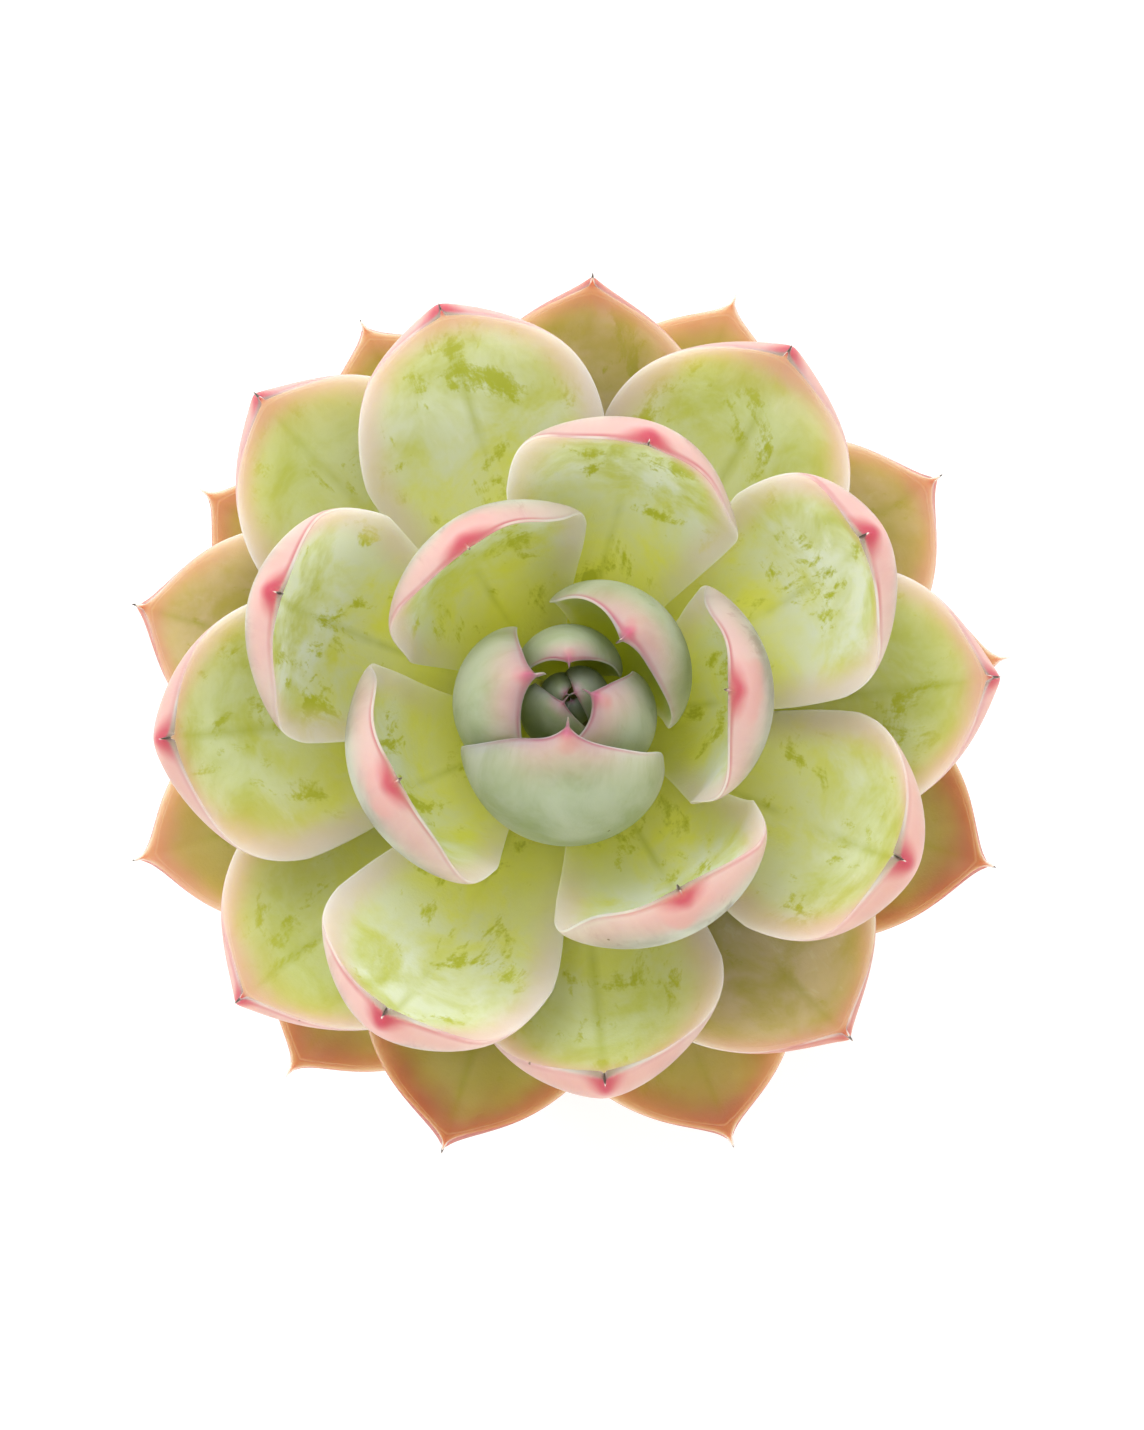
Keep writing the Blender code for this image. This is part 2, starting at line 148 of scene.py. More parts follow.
OWN = {
    1: {"turn": -5},
    2: {"turn": 10},
    3: {"turn": -10, "length": 0.92},
    4: {"turn": -8, "length": 0.95, "curl": -15},
    5: {"turn": -4, "width": 0.97, "lean": 36},
    6: {"turn": 3, "width": 0.97, "curl": -6, "lean": -30},
    7: {"turn": -4, "length": 0.87, "width": 0.98, "foot": 4, "curl": -30, "lean": 2},
    8: {"turn": -2},
    9: {"turn": -5, "length": 0.98, "width": 1.04, "curl": -10},
    10: {"turn": 7, "length": 0.90, "curl": 2},
    11: {"turn": -7, "length": 0.98, "width": 1.08},
    12: {"length": 1.05, "curl": -14, "sweep": -5},
    13: {"turn": -1, "length": 0.98, "curl": 4},
    14: {"length": 1.06},
    15: {"turn": 1, "length": 0.98, "width": 0.95, "sweep": 3},
    16: {"turn": -2, "length": 1.03, "width": 0.97, "sweep": -4},
    17: {"width": 1.03, "curl": -24},
    18: {"turn": 3, "length": 0.96, "curl": 8},
    19: {"turn": -10, "width": 1.1, "sweep": 3},
    20: {"turn": 1, "length": 0.97, "width": 1.1, "curl": -10, "sweep": 2},
    21: {"turn": -2, "length": 0.94, "width": 1.06, "curl": 16},
    22: {"turn": -4, "curl": -6},
    23: {"turn": 2, "length": 0.97, "width": 1.05},
    24: {"turn": -2, "width": 1.06},
    25: {"turn": 1, "length": 0.99, "width": 1.05},
    26: {"length": 0.96, "width": 1.1, "sweep": 2},
    27: {"turn": -4},
    28: {"turn": 1, "length": 0.98, "width": 1.12, "sweep": -1},
    29: {"turn": -1, "length": 1.02, "width": 1.06},
    30: {"turn": 1},
    31: {"turn": 1, "width": 1.1},
    32: {"turn": -3, "length": 1.03},
    33: {"turn": 5, "length": 1.03, "width": 1.08},
    34: {"turn": 5, "length": 1.02, "width": 1.12},
    35: {"length": 0.98},
    36: {"turn": -2},
    37: {"turn": -1, "length": 1.02, "width": 1.1},
}
print("growth law:", len(STAGES), "stages,", len(OWN), "leaves with something of their own")


# %% One leaf's sizes
def foot_height(age):
    """Height of a leaf's foot: one small rise for every older leaf, and another rise in the heart."""
    below = (LEAF_COUNT - 1 - max(age, HEART_AGE)) * LEAF_RISE
    return ROSETTE_BASE + below + max(HEART_AGE - age, 0) * HEART_RISE


def leaf_form(age):
    """The growth law at this age, times or plus what is the leaf's own."""
    ages = [row[0] for row in STAGES]
    form = {
        name: float(np.interp(age, ages, [row[column + 1] for row in STAGES]))
        for column, name in enumerate(STAGE_NAMES)
    }
    own = OWN.get(age, {})
    form["length"] *= LEAF_LENGTH * own.get("length", 1.0)
    form["width"] *= LEAF_HALF_WIDTH * own.get("width", 1.0)
    form["thick"] *= LEAF_THICKNESS
    form["lift"] *= form["thick"]
    form["seat"] *= SEAT_RADIUS
    form["foot"] = math.radians(form["foot"] + own.get("foot", 0))
    form["curl"] = math.radians(form["curl"] + own.get("curl", 0))
    form["turn"] = FIRST_LEAF_AT - TURN * age + math.radians(own.get("turn", 0))
    form["sweep"] = math.radians(own.get("sweep", 0))
    form["lean"] = math.radians(own.get("lean", 0))
    form["height"] = foot_height(age)
    form["age"] = age
    return form


print("oldest leaf:", {key: round(value, 4) for key, value in leaf_form(LEAF_COUNT - 1).items()})


# %% [markdown]
# ## The blade
#
# A blade could be carved from a subdivided box, but every leaf would need its own cage. A formula
# over two parameters is surer: one runs along the middle line from foot to point, the other round
# the section, which is a lens with a low crown above and the flesh below. The width is wrapped round
# the plant's axis, so that neighbouring leaves nest like cups.

# %% The middle line and the outline
def ease(share):
    """A smooth step: three times the square less twice the cube, held between 0 and 1."""
    share = np.clip(share, 0.0, 1.0)
    return share * share * (3.0 - 2.0 * share)


def middle_line(form, along):
    """Pitch, reach and height at shares along the leaf.

    The pitch goes from the foot's to the end's with a power of the share, and the curve is the
    running sum of short steps at that pitch. Past the blade's end it runs straight on.
    """
    share = np.linspace(0.0, 1.0, MIDDLE_LINE_STEPS + 1)
    pitch = form["foot"] + (form["curl"] - form["foot"]) * share ** form["late"]
    middle = (pitch[1:] + pitch[:-1]) / 2
    step = form["length"] / MIDDLE_LINE_STEPS
    reach = form["seat"] + np.concatenate([[0.0], np.cumsum(np.cos(middle) * step)])
    height = form["height"] + np.concatenate([[0.0], np.cumsum(np.sin(middle) * step)])
    beyond = np.maximum(along - 1.0, 0.0) * form["length"]
    at_pitch = np.interp(along, share, pitch)
    at_reach = np.interp(along, share, reach) + beyond * math.cos(form["curl"])
    at_height = np.interp(along, share, height) + beyond * math.sin(form["curl"])
    return at_pitch, at_reach, at_height


def half_width(form, along):
    """Half the blade's width.

    Up to the widest place it is half an even rise and half an eased one. Past it the width is
    multiplied by one less a power of the share of the way to the end, all raised to a second power.
    A low first power closes in straight sides that meet in a point, and a high one closes round.
    """
    grown = along / form["widest"]
    rise = 0.5 * np.clip(grown, 0.0, 1.0) + 0.5 * ease(grown)
    closing = np.clip((along - form["widest"]) / (1.0 - form["widest"]), 0.0, 1.0)
    foot = FOOT_SPREAD * form["seat"]
    return (foot + (form["width"] - foot) * rise) * (1.0 - closing ** form["point"]) ** form["close"]


def thickness(form, along):
    """The blade's thickness: the foot's share, eased to full by the middle, and closed at the end.

    It closes like a bow, as the square root of one less the seventh power of the share along.
    """
    full = FOOT_THICKNESS_SHARE + (1.0 - FOOT_THICKNESS_SHARE) * ease(along / 0.5)
    return form["thick"] * full * np.sqrt(np.clip(1.0 - along**7, 0.0, 1.0))


print("a grown blade is widest at", leaf_form(22)["widest"], "of its length")

# %% [markdown]
# Five small things make the blade a real one. Its margin is not a knife edge but a soft bead. The
# end is drawn in a little and carries a dry point, the mucro, which grows out of the closing blade
# as the root of the summed squares of both widths. The margins ripple, most on the standing leaves.
# A faint groove runs along the middle. In the heart the sides stand nearer the axis than the keel,
# which folds each young leaf over the next one.

# %% The blade's skin
SPIKE_ROOT = 0.0022
DRAWN_IN_LENGTH = 0.003
SPIKE_RADIUS = ((0, 0.0002), (8, 0.0004), (16, 0.0005), (25, 0.0006), (37, 0.0006))
DRAWN_IN = ((0, 0.0), (4, 0.1), (8, 0.35), (9, 0.22), (16, 0.26), (22, 0.26), (28, 0.40), (37, 0.45))
RIPPLE = ((0, 0.0), (6, 0.0002), (9, 0.0011), (12, 0.0012), (16, 0.0008), (24, 0.0004), (37, 0.0003))
RIPPLES_ALONG = 2.3
GROOVE_DEPTH = 0.00022
GROOVE_WIDTH = 0.0010
BEAD_RADIUS = 0.00034


def by_age(table, age):
    """A value between the rows of an (age, value) table."""
    return float(np.interp(age, [row[0] for row in table], [row[1] for row in table]))


def own_number(age, which):
    """A fixed number from 0 to 1 for each leaf: the fraction of a large multiple of a sine."""
    return (math.sin(age * 12.9898 + which * 78.233) * 43758.5453) % 1.0


def spike_radius(form, along):
    """The dry point's radius: eased in over its root, times the square root of what is left of it."""
    root = 1.0 - SPIKE_ROOT / form["length"]
    end = 1.0 + LEAF_SPIKE / form["length"]
    run_out = np.sqrt(np.clip((end - along) / (end - root), 0.0, 1.0))
    come_in = ease((along - root) / (end - root) * 2.0)
    return by_age(SPIKE_RADIUS, form["age"]) * run_out * come_in


def drawn_in_width(form, along):
    """Half the width, less a bell-shaped share of it over the last few millimetres of the blade."""
    before_end = (1.0 - along) * form["length"]
    bell = np.exp(-((before_end / DRAWN_IN_LENGTH) ** 2))
    return half_width(form, along) * (1.0 - by_age(DRAWN_IN, form["age"]) * bell)


def blade_points(form, along, around):
    """Points of the skin, from shares along the blade and angles round its section.

    The middle line is set off square to itself by the lens, the lifted sides, the ripple and the
    groove. The width becomes an angle round the plant's axis: width over reach, held below the
    leaf's wrap by a hyperbolic tangent. The sides then stand nearer the axis by the keel's share.
    """
    pitch, reach, height = middle_line(form, along)
    across = np.cos(around)
    spike = spike_radius(form, along)
    width = drawn_in_width(form, along)
    swell = np.abs(np.sin(around))
    full = thickness(form, along)
    bead = BEAD_RADIUS * swell**0.6 * np.clip(width / 0.0015, 0.0, 1.0) * ease(along / 0.3)
    above = np.sqrt((UPPER_CROWN * full * swell**MARGIN_POWER) ** 2 + bead**2 + (spike * swell) ** 2)
    below = np.sqrt((full * swell**MARGIN_POWER) ** 2 + bead**2 + (spike * swell) ** 2)
    lift = form["lift"] * ease((along - 0.35) / 0.45) * across**2
    waves = 2 * math.pi * (RIPPLES_ALONG * along + own_number(form["age"], 1))
    ripple = np.sin(waves + 1.7 * np.sign(across)) * np.abs(across) ** 3
    ripple = by_age(RIPPLE, form["age"]) * ripple * ease((along - 0.4) / 0.3)
    ripple = ripple * ease((1.0 - along) / 0.12)
    groove = GROOVE_DEPTH * np.exp(-((across * width / GROOVE_WIDTH) ** 2))
    groove = groove * ease((along - 0.2) / 0.3) * ease((1.0 - along) / 0.1)
    offset = lift + ripple + np.where(np.sin(around) > 0.0, above - groove, -below)
    wrap = np.hypot(width, spike) / np.maximum(reach, NEAREST_AXIS)
    wrap = form["wrap"] * np.tanh(wrap / form["wrap"]) * across
    bearing = form["turn"] + form["sweep"] * along**2 + form["lean"] * along**8 + wrap
    distance = reach * (1.0 - form["keel"] * across**2) - offset * np.sin(pitch)
    return np.stack(
        [distance * np.cos(bearing), distance * np.sin(bearing), height + offset * np.cos(pitch)], -1
    )


print("dry points up to", by_age(SPIKE_RADIUS, 37) * 2000, "mm thick,", LEAF_SPIKE * 1000, "mm long")


# %% [markdown]
# A mesh helper comes next. It takes a whole grid of points, closes it round, and closes both ends
# with a fan. It also writes a UV map and named values on the points, which the finishes read: how
# near the margin a point is, how far along, which side it is on, and where the dry point starts.

# %% From grid to mesh
def closed_tube(name, points, first_pole, last_pole, values=None):
    """A mesh from rings of points: quads between rings, and a fan of triangles at each end."""
    rings, sides = points.shape[:2]
    vertices = np.concatenate([points.reshape(-1, 3), [first_pole], [last_pole]])
    ring, side = np.meshgrid(np.arange(rings - 1), np.arange(sides), indexing="ij")
    here = (ring * sides + side).ravel()
    after = (ring * sides + (side + 1) % sides).ravel()
    quads = np.stack([here, after, after + sides, here + sides], 1)
    edge = np.arange(sides)
    turn_on = (edge + 1) % sides
    first = np.stack([turn_on, edge, np.full(sides, rings * sides)], 1)
    end_ring = (rings - 1) * sides
    last = np.stack([end_ring + edge, end_ring + turn_on, np.full(sides, rings * sides + 1)], 1)
    faces = [*quads.tolist(), *first.tolist(), *last.tolist()]
    mesh = bpy.data.meshes.new(name)
    mesh.from_pydata(vertices.tolist(), [], faces)
    for key, grid in (values or {}).items():
        ends = [grid[:1].mean(1), grid[-1:].mean(1)]
        column = np.concatenate([grid.reshape(-1, *grid.shape[2:]), *ends]).astype(np.float32)
        kind, field = ("FLOAT", "value") if grid.ndim == 2 else ("FLOAT_VECTOR", "vector")
        mesh.attributes.new(key, kind, "POINT").data.foreach_set(field, column.ravel())
    write_uv(mesh, rings, sides)
    mesh.shade_smooth()
    return mesh


def write_uv(mesh, rings, sides):
    """A UV map from the grid: round the section for U and along it for V, without a torn seam."""
    corner = np.empty(len(mesh.loops), np.int64)
    mesh.loops.foreach_get("vertex_index", corner)
    start = np.empty(len(mesh.polygons), np.int64)
    count = np.empty(len(mesh.polygons), np.int64)
    mesh.polygons.foreach_get("loop_start", start)
    mesh.polygons.foreach_get("loop_total", count)
    u = (corner % sides) / sides
    v = np.minimum(corner // sides, rings - 1) / (rings - 1)
    face_of = np.repeat(np.arange(len(start)), count)
    high = np.maximum.reduceat(u, start)[face_of] > 0.75
    u = np.where(high & (u == 0), 1.0, u)
    v = np.where(corner == rings * sides, 0.0, v)
    uv = mesh.uv_layers.new(name="UVMap")
    uv.data.foreach_set("uv", np.stack([u, v], 1).astype(np.float32).ravel())


def add_object(name, data):
    """An object for this mesh, lamp or camera, linked into the scene."""
    thing = bpy.data.objects.new(name, data)
    bpy.context.scene.collection.objects.link(thing)
    return thing


def add_piece(name, mesh, material, node=None):
    """Put a mesh into the scene, on the plant's one body, for the CAD solid that it stands for."""
    piece = add_object(name, mesh)
    mesh.materials.append(material)
    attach(piece, "root")
    if node:
        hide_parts(node)
    return piece


print("helpers ready: closed_tube, write_uv, add_object, add_piece")

# %% [markdown]
# ## Finishes
#
# A leaf's colour is layered, so its material is too. Under everything is the flesh, yellow and
# translucent at the foot and greener above; on the ring leaves the foot's yellow is made very
# bright as painted light in the deep clefts. Over it lies the bloom, a pale wax that rubs off in
# patches, laid thicker or thinner leaf by leaf also as painted light and shade. The margins blush,
# a fine rose line runs along them to the point, and the old leaves flush salmon from the margin
# inwards, a flush deepened as painted shade on outer leaves that lie in shadow. The ring leaves'
# lower face is darkened as painted shade. One node group does all this, and each of the three leaf
# finishes sets its own colours and amounts.

# %% Node helpers
FLOAT, COLOUR, VECTOR = "NodeSocketFloat", "NodeSocketColor", "NodeSocketVector"


def new_group(name, inputs, outputs):
    """A shader node group with named sockets. Returns the tree and its two end nodes."""
    tree = bpy.data.node_groups.new(name, "ShaderNodeTree")
    for label, kind, value in inputs:
        socket = tree.interface.new_socket(label, in_out="INPUT", socket_type=kind)
        if value is not None:
            socket.default_value = value
    for label, kind in outputs:
        tree.interface.new_socket(label, in_out="OUTPUT", socket_type=kind)
    return tree, tree.nodes.new("NodeGroupInput"), tree.nodes.new("NodeGroupOutput")


def put(tree, socket, value):
    """Link a socket to another node's output, or set it to a number or an opaque colour."""
    if isinstance(value, bpy.types.NodeSocket):
        tree.links.new(value, socket)
    else:
        socket.default_value = (*value, 1.0) if isinstance(value, tuple) else value


def calc(tree, operation, a, b=0.0, clamp=False):
    """One Math node, with its two values."""
    node = tree.nodes.new("ShaderNodeMath")
    node.operation = operation
    node.use_clamp = clamp
    put(tree, node.inputs[0], a)
    put(tree, node.inputs[1], b)
    return node.outputs[0]


def times(tree, a, b, clamp=False):
    """One Math node that multiplies."""
    return calc(tree, "MULTIPLY", a, b, clamp)


def plus(tree, a, b):
    """One Math node that adds."""
    return calc(tree, "ADD", a, b)


def minus(tree, a, b, clamp=False):
    """One Math node that subtracts."""
    return calc(tree, "SUBTRACT", a, b, clamp)


def spread(tree, value, low, high, to_low=0.0, to_high=1.0):
    """A smooth Map Range: low to high becomes to_low to to_high."""
    node = tree.nodes.new("ShaderNodeMapRange")
    node.interpolation_type = "SMOOTHSTEP"
    for socket, given in zip(node.inputs[:5], (value, low, high, to_low, to_high), strict=True):
        put(tree, socket, given)
    return node.outputs[0]


def blend(tree, factor, a, b, mode="MIX"):
    """One colour Mix node."""
    node = tree.nodes.new("ShaderNodeMix")
    node.data_type = "RGBA"
    node.blend_type = mode
    put(tree, node.inputs[0], factor)
    put(tree, node.inputs[6], a)
    put(tree, node.inputs[7], b)
    return node.outputs[2]


def noise(tree, place, scale, detail=4.0, rough=0.55, twist=0.0):
    """One Noise node; the scale is in waves for each metre."""
    node = tree.nodes.new("ShaderNodeTexNoise")
    put(tree, node.inputs["Vector"], place)
    node.inputs["Scale"].default_value = scale
    node.inputs["Detail"].default_value = detail
    node.inputs["Roughness"].default_value = rough
    node.inputs["Distortion"].default_value = twist
    return node.outputs[0]


def cells(tree, place, scale):
    """One Voronoi node. Returns the distance to each cell's middle and the cell's chance value."""
    node = tree.nodes.new("ShaderNodeTexVoronoi")
    tree.links.new(place, node.inputs["Vector"])
    node.inputs["Scale"].default_value = scale
    apart = tree.nodes.new("ShaderNodeSeparateColor")
    tree.links.new(node.outputs["Color"], apart.inputs[0])
    return node.outputs["Distance"], apart.outputs[0]


def stretched(tree, place, stretch):
    """One Mapping node that scales a place."""
    node = tree.nodes.new("ShaderNodeMapping")
    node.inputs["Scale"].default_value = stretch
    tree.links.new(place, node.inputs["Vector"])
    return node.outputs["Vector"]


print("node helpers ready")


# %% The bloom: where the wax is whole and where it is rubbed away
def bloom_group():
    """Bloom is whole where a broad noise is low, and finer noises break its edge into streaks.

    It reads the leaf's own flat coordinates, and the streaks are longer along the leaf than across.
    """
    tree, start, end = new_group(
        "wax_bloom",
        [("Flat", VECTOR, None), ("Rubbed", FLOAT, 0.5)],
        [("Bloom", FLOAT), ("Bare", FLOAT), ("Frost", FLOAT), ("Grain", FLOAT)],
    )
    flat = start.outputs["Flat"]
    streaks = noise(tree, stretched(tree, flat, (1.0, 0.4, 1.0)), 420.0, 5.0, 0.68, 0.6)
    broad = noise(tree, flat, 110.0, 5.0, 0.62, 0.8)
    grain = noise(tree, flat, 1900.0, 3.0, 0.7)
    clouds = noise(tree, flat, 120.0, 4.0, 0.6, 0.4)
    ragged = times(tree, minus(tree, streaks, 0.5), 0.55)
    ragged = plus(tree, ragged, times(tree, minus(tree, grain, 0.5), 0.14))
    ragged = plus(tree, broad, ragged)
    edge = minus(tree, 0.80, times(tree, start.outputs["Rubbed"], 0.42))
    bare = spread(tree, ragged, edge, plus(tree, edge, 0.14))
    bloom = times(tree, minus(tree, 1.0, bare), spread(tree, clouds, 0.26, 0.68))
    frost = times(tree, spread(tree, streaks, 0.52, 0.68), spread(tree, broad, 0.5, 0.4))
    for label, value in (("Bloom", bloom), ("Bare", bare), ("Frost", frost), ("Grain", grain)):
        tree.links.new(value, end.inputs[label])
    return tree


WAX = bloom_group()
print("group made:", WAX.name)

# %% [markdown]
# The layers go on in the order in which the plant makes them. Distances from the margin and from the
# point are in millimetres, so one width of blush serves every leaf. The tables hold each finish's
# colours and amounts. The heart is grey-green with pink only round its points. The ring leaves are
# pale and minty, yellow at the foot, with rose margins; their very bright foot is partly painted
# light in the clefts, and their dark lower face is painted shade. The outer leaves are older and
# sun-flushed.

# %% The leaf's layers
FINISH_NAMES = ("leaf_heart", "leaf_ring", "leaf_outer")
COLOURS = {
    # Foot: the flesh's yellow at the leaf's foot; on the ring leaves it is made very bright as painted
    # light in the clefts.
    "Foot and cleft light": ((0.50, 0.55, 0.07), (0.92, 0.94, 0.14), (0.36, 0.38, 0.03)),
    "Body": ((0.26, 0.36, 0.13), (0.50, 0.54, 0.12), (0.46, 0.41, 0.10)),
    "Bloomed": ((0.58, 0.63, 0.52), (0.70, 0.76, 0.64), (0.68, 0.57, 0.48)),
    "Bare": ((0.24, 0.32, 0.09), (0.42, 0.46, 0.02), (0.36, 0.36, 0.03)),
    "Pale": ((0.56, 0.60, 0.44), (0.72, 0.60, 0.55), (0.64, 0.45, 0.40)),
    "Blush": ((0.58, 0.26, 0.32), (0.62, 0.35, 0.35), (0.54, 0.23, 0.20)),
    "Line": ((0.46, 0.06, 0.14), (0.42, 0.05, 0.09), (0.38, 0.07, 0.06)),
    # Underside: the lower face's colour; on the ring leaves it is darkened as painted shade.
    "Underside and shade": ((0.25, 0.31, 0.15), (0.26, 0.25, 0.20), (0.58, 0.36, 0.28)),
    "Patch": ((0.50, 0.16, 0.16), (0.56, 0.26, 0.22), (0.34, 0.09, 0.06)),
}
AMOUNTS = {
    "Bloom amount": (0.62, 0.85, 0.55),
    "Rubbed": (0.34, 0.56, 0.5),
    "Pale width": (1.4, 5.5, 5.0),
    "Blush width": (1.6, 5.4, 4.6),
    "Blush amount": (0.3, 0.9, 0.9),
    "Line amount": (0.85, 0.95, 0.85),
    "Under blush": (0.66, 0.34, 0.8),
    "Patch amount": (0.65, 0.8, 0.4),
    "Patch size": (1.8, 2.8, 6.0),
    "Ridges": (0.0, 0.4, 0.4),
}
LEAF_VALUES = ("edge", "tip", "reach", "under", "middle", "spike", "tan_and_shade", "wax", "rose")


def leaf_group():
    """Flesh, bloom, pale margin, blush, ridges, line and dry point, one over the other."""
    tree, start, end = new_group(
        "leaf_layers",
        [("Place", VECTOR, None), ("Flat", VECTOR, None)]
        + [(name, FLOAT, 0.0) for name in LEAF_VALUES]
        + [(name, COLOUR, None) for name in COLOURS]
        + [(name, FLOAT, 0.5) for name in AMOUNTS],
        [("Colour", COLOUR), ("Roughness", FLOAT), ("Height", FLOAT)],
    )
    given = start.outputs
    flat, place, reach, tip = (given[name] for name in ("Flat", "Place", "reach", "tip"))
    wax = tree.nodes.new("ShaderNodeGroup")
    wax.node_tree = WAX
    tree.links.new(flat, wax.inputs["Flat"])
    tree.links.new(given["Rubbed"], wax.inputs["Rubbed"])
    drift = noise(tree, place, 90.0, 3.0, 0.5)
    sway = minus(tree, drift, 0.5)
    upper = minus(tree, 1.0, given["under"])
    edge = plus(tree, given["edge"], times(tree, sway, 3.0))

    # Flesh, bloom and the rubbed patches of the upper face.
    # The foot colour is partly painted light, bright enough to fill the clefts between the ring
    # leaves.
    flesh = blend(tree, spread(tree, reach, 0.25, 0.82), given["Foot and cleft light"], given["Body"])
    bloomed = times(tree, wax.outputs["Bloom"], given["Bloom amount"])
    # The wax value is partly painted light and shade: more bloom makes a leaf paler and brighter.
    bloomed = times(tree, bloomed, given["wax"], clamp=True)
    bloomed = times(tree, bloomed, spread(tree, reach, 0.25, 0.72, 0.1, 1.0))
    layer = blend(tree, bloomed, flesh, given["Bloomed"])
    frost = times(tree, times(tree, wax.outputs["Frost"], bloomed), 0.5)
    layer = blend(tree, frost, layer, (0.76, 0.78, 0.66))
    bare = times(tree, wax.outputs["Bare"], spread(tree, edge, 1.5, 5.0))
    bare = times(tree, bare, spread(tree, reach, 0.95, 0.7))
    layer = blend(tree, times(tree, bare, 0.68), layer, given["Bare"])
    vein = times(tree, given["middle"], spread(tree, drift, 0.35, 0.6))
    layer = blend(tree, times(tree, vein, 0.4), layer, given["Bare"])
    pale = spread(tree, edge, given["Pale width"], 0.2)
    pale = times(tree, pale, spread(tree, reach, 0.2, 0.6))
    layer = blend(tree, times(tree, pale, 0.85), layer, given["Pale"])

    # The lower face, with the patch round the point. On the ring leaves its colour is darkened as
    # painted shade.
    under = blend(tree, spread(tree, reach, 0.2, 0.75), given["Body"], given["Underside and shade"])
    under = blend(tree, times(tree, wax.outputs["Bloom"], 0.45), under, given["Bloomed"])
    below = times(tree, spread(tree, edge, 5.5, 0.0), given["Under blush"])
    below = times(tree, below, spread(tree, tip, 13.0, 3.0, 0.12, 1.0))
    under = blend(tree, below, under, given["Blush"])
    blot = noise(tree, place, 170.0, 2.0, 0.45)
    size = plus(tree, given["Patch size"], times(tree, minus(tree, blot, 0.5), 9.0))
    away = minus(tree, tip, size)
    patch = spread(tree, away, 1.0, -1.2)
    patch = times(tree, patch, times(tree, given["Patch amount"], given["rose"]))
    under = blend(tree, patch, under, given["Patch"])
    layer = blend(tree, given["under"], layer, under)

    # Blush: near the margin, nearer still to the point, and deeper on a sun-tanned leaf; on the outer
    # leaves that lie in shadow the tan is raised as painted shade.
    near = spread(tree, edge, given["Blush width"], 0.0)
    far = spread(tree, tip, 22.0, 4.0, 0.35, 1.0)
    blush = times(tree, times(tree, near, far), given["Blush amount"])
    blush = times(tree, blush, spread(tree, reach, 0.25, 0.6))
    layer = blend(tree, blush, layer, given["Blush"])
    inward = plus(tree, given["edge"], times(tree, sway, 7.0))
    tan_and_shade = times(tree, spread(tree, inward, 9.0, 0.5), given["tan_and_shade"])
    tan_and_shade = times(tree, tan_and_shade, spread(tree, reach, 0.3, 0.8))
    layer = blend(tree, tan_and_shade, layer, given["Patch"])

    # Two fine ridges that meet at the point, then the line on the margin itself.
    bent = plus(tree, given["edge"], times(tree, sway, 1.6))
    ridge = calc(tree, "ABSOLUTE", minus(tree, bent, 1.5))
    ridge = times(tree, spread(tree, ridge, 0.22, 0.04), spread(tree, tip, 15.0, 5.0))
    ridge = times(tree, times(tree, ridge, given["Ridges"]), upper)
    layer = blend(tree, times(tree, ridge, 0.45), layer, given["Pale"])
    line = spread(tree, given["edge"], 0.52, 0.10)
    line = times(tree, line, spread(tree, tip, 22.0, 4.0))
    line = times(tree, line, spread(tree, drift, 0.3, 0.55, 0.45, 1.0))
    rose = times(tree, given["Line amount"], given["rose"])
    line = times(tree, line, rose)
    layer = blend(tree, line, layer, given["Line"])
    hem = times(tree, spread(tree, given["edge"], 0.16, 0.02), spread(tree, drift, 0.4, 0.6))
    hem = times(tree, hem, minus(tree, 0.55, given["tan_and_shade"], clamp=True))
    layer = blend(tree, hem, layer, (0.78, 0.74, 0.62))

    # Specks of grit, and the dry point.
    distance, chance = cells(tree, place, 210.0)
    dot = times(tree, spread(tree, distance, 0.05, 0.03), spread(tree, chance, 0.93, 0.95))
    layer = blend(tree, times(tree, dot, 0.8), layer, (0.10, 0.07, 0.03))
    halo = times(tree, spread(tree, tip, 1.5, 0.2), rose)
    layer = blend(tree, times(tree, halo, 0.6), layer, given["Line"])
    dry = blend(tree, spread(tree, given["spike"], 0.72, 1.0), given["Line"], (0.33, 0.18, 0.12))
    layer = blend(tree, spread(tree, given["spike"], 0.25, 0.7), layer, dry)
    tree.links.new(layer, end.inputs["Colour"])

    rough = plus(tree, 0.44, times(tree, bloomed, 0.2))
    rough = plus(tree, rough, times(tree, wax.outputs["Grain"], 0.08))
    tree.links.new(minus(tree, rough, times(tree, bare, 0.08)), end.inputs["Roughness"])
    height = times(tree, wax.outputs["Grain"], 0.2)
    height = plus(tree, height, times(tree, drift, 1.2))
    height = plus(tree, height, times(tree, wax.outputs["Bloom"], 0.12))
    height = plus(tree, height, times(tree, ridge, 0.5))
    tree.links.new(height, end.inputs["Height"])
    return tree


LAYERS = leaf_group()
print("group made:", LAYERS.name, "with", len(LAYERS.nodes), "nodes")

# %% [markdown]
# Water-filled flesh lets light through, and a plain surface colour would look like painted plaster.
# So each shader scatters the light under the surface, over about a centimetre, and blue least far.
# That, and the very bright foot colour, which is painted light, make the leaves glow at their feet
# and fill the clefts between them with light.

# %% Leaf finishes
FLESH_SCATTER_LENGTH = 0.011
FLESH_SCATTER_COLOURS = (1.0, 0.97, 0.6)


def new_material(name):
    """A material with nodes. Returns it with its tree and its Principled shader."""
    material = bpy.data.materials.new(name)
    material.use_nodes = True
    tree = material.node_tree
    return material, tree, tree.nodes["Principled BSDF"]


def object_place(tree, stretch=(1.0, 1.0, 1.0)):
    """The object's own coordinates, scaled by the stretch."""
    return stretched(tree, tree.nodes.new("ShaderNodeTexCoord").outputs["Object"], stretch)


